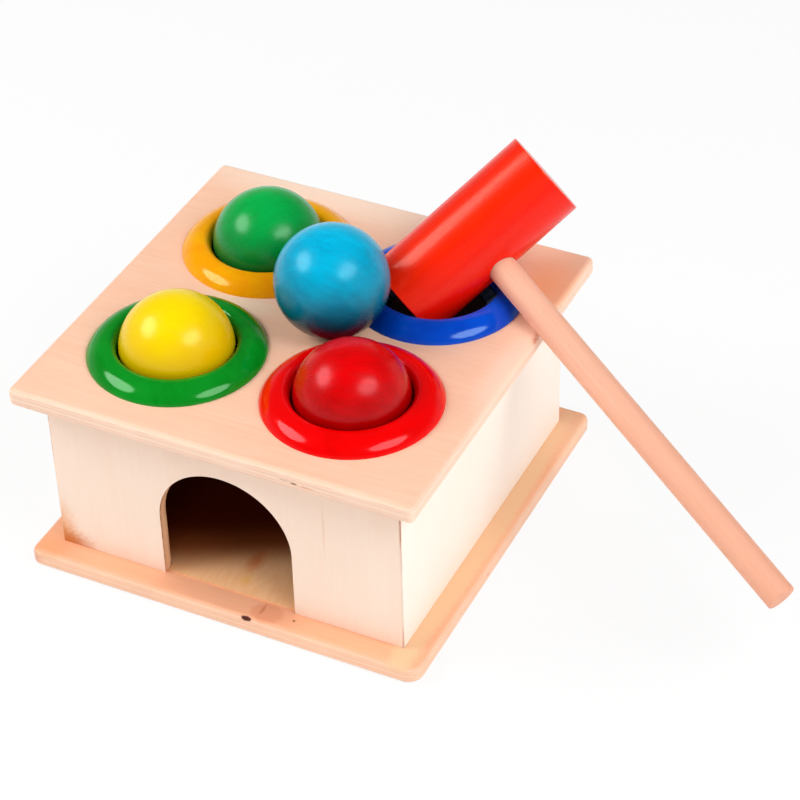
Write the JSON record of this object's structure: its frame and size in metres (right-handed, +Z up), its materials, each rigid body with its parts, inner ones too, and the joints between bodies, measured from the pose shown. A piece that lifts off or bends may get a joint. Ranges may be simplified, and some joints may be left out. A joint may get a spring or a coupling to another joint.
{
  "type": "ball pounding bench",
  "caption": "Square wooden pounding toy: balls are hammered through sprung coloured rings in the top board, drop onto a sloped floor inside and roll out of an arched doorway.",
  "frame": {"origin": "middle of the base board's underside, on the surface that the bench stands on", "axes": "+Z up, -Y out of the arched doorway, +X to the right of someone who faces the doorway"},
  "size_m": [0.2931, 0.171, 0.1459],
  "materials": {
    "board_plywood": "sanded pale plywood, clear matt lacquer",
    "wall_plywood": "sanded pale plywood, clear matt lacquer",
    "ramp_plywood": "bare plywood",
    "green_plastic": "glossy moulded plastic",
    "amber_plastic": "glossy moulded plastic",
    "red_plastic": "glossy moulded plastic",
    "blue_plastic": "glossy moulded plastic",
    "yellow_paint": "glossy paint on wood",
    "green_paint": "glossy paint on wood",
    "red_paint": "glossy paint on wood",
    "light_blue_paint": "glossy paint on wood",
    "orange_red_paint": "satin paint on wood",
    "beech": "plain sanded dowel",
    "nail_steel": "bright wire nail"
  },
  "bodies": {
    "bench": {"base_board": "board_plywood", "top_board": "board_plywood", "front_wall": "wall_plywood", "right_wall": "wall_plywood", "back_wall": "wall_plywood", "left_wall": "wall_plywood", "ramp_board": "ramp_plywood", "ramp_batten": "ramp_plywood", "green_ring": "green_plastic", "green_ring_lip": "green_plastic", "amber_ring": "amber_plastic", "amber_ring_lip": "amber_plastic", "red_ring": "red_plastic", "red_ring_lip": "red_plastic", "blue_ring": "blue_plastic", "blue_ring_lip": "blue_plastic", "base_nail_1": "nail_steel", "base_nail_2": "nail_steel", "base_nail_3": "nail_steel", "base_nail_4": "nail_steel", "base_nail_5": "nail_steel", "base_nail_6": "nail_steel", "base_nail_7": "nail_steel", "base_nail_8": "nail_steel"},
    "yellow_ball": {"yellow_ball": "yellow_paint"},
    "green_ball": {"green_ball": "green_paint"},
    "red_ball": {"red_ball": "red_paint"},
    "blue_ball": {"blue_ball": "light_blue_paint"},
    "hammer": {"hammer_head": "orange_red_paint", "hammer_handle": "beech"}
  },
  "joints": [
    {"name": "yellow_ball_drop", "type": "slide", "parent": "bench", "child": "yellow_ball", "axis": [0, 0, 1], "range_m": [-0.0543, 0.06], "deforming": ["green_ring_lip"]},
    {"name": "green_ball_drop", "type": "slide", "parent": "bench", "child": "green_ball", "axis": [0, 0, 1], "range_m": [-0.0462, 0.06], "deforming": ["amber_ring_lip"]},
    {"name": "red_ball_drop", "type": "slide", "parent": "bench", "child": "red_ball", "axis": [0, 0, 1], "range_m": [-0.0543, 0.06], "deforming": ["red_ring_lip"]},
    {"name": "blue_ball_lift", "type": "slide", "parent": "bench", "child": "blue_ball", "axis": [0, 0, 1], "range_m": [0, 0.06]},
    {"name": "hammer_lift", "type": "slide", "parent": "bench", "child": "hammer", "axis": [0.5456, 0.6124, 0.5721], "range_m": [0, 0.15]}
  ]
}
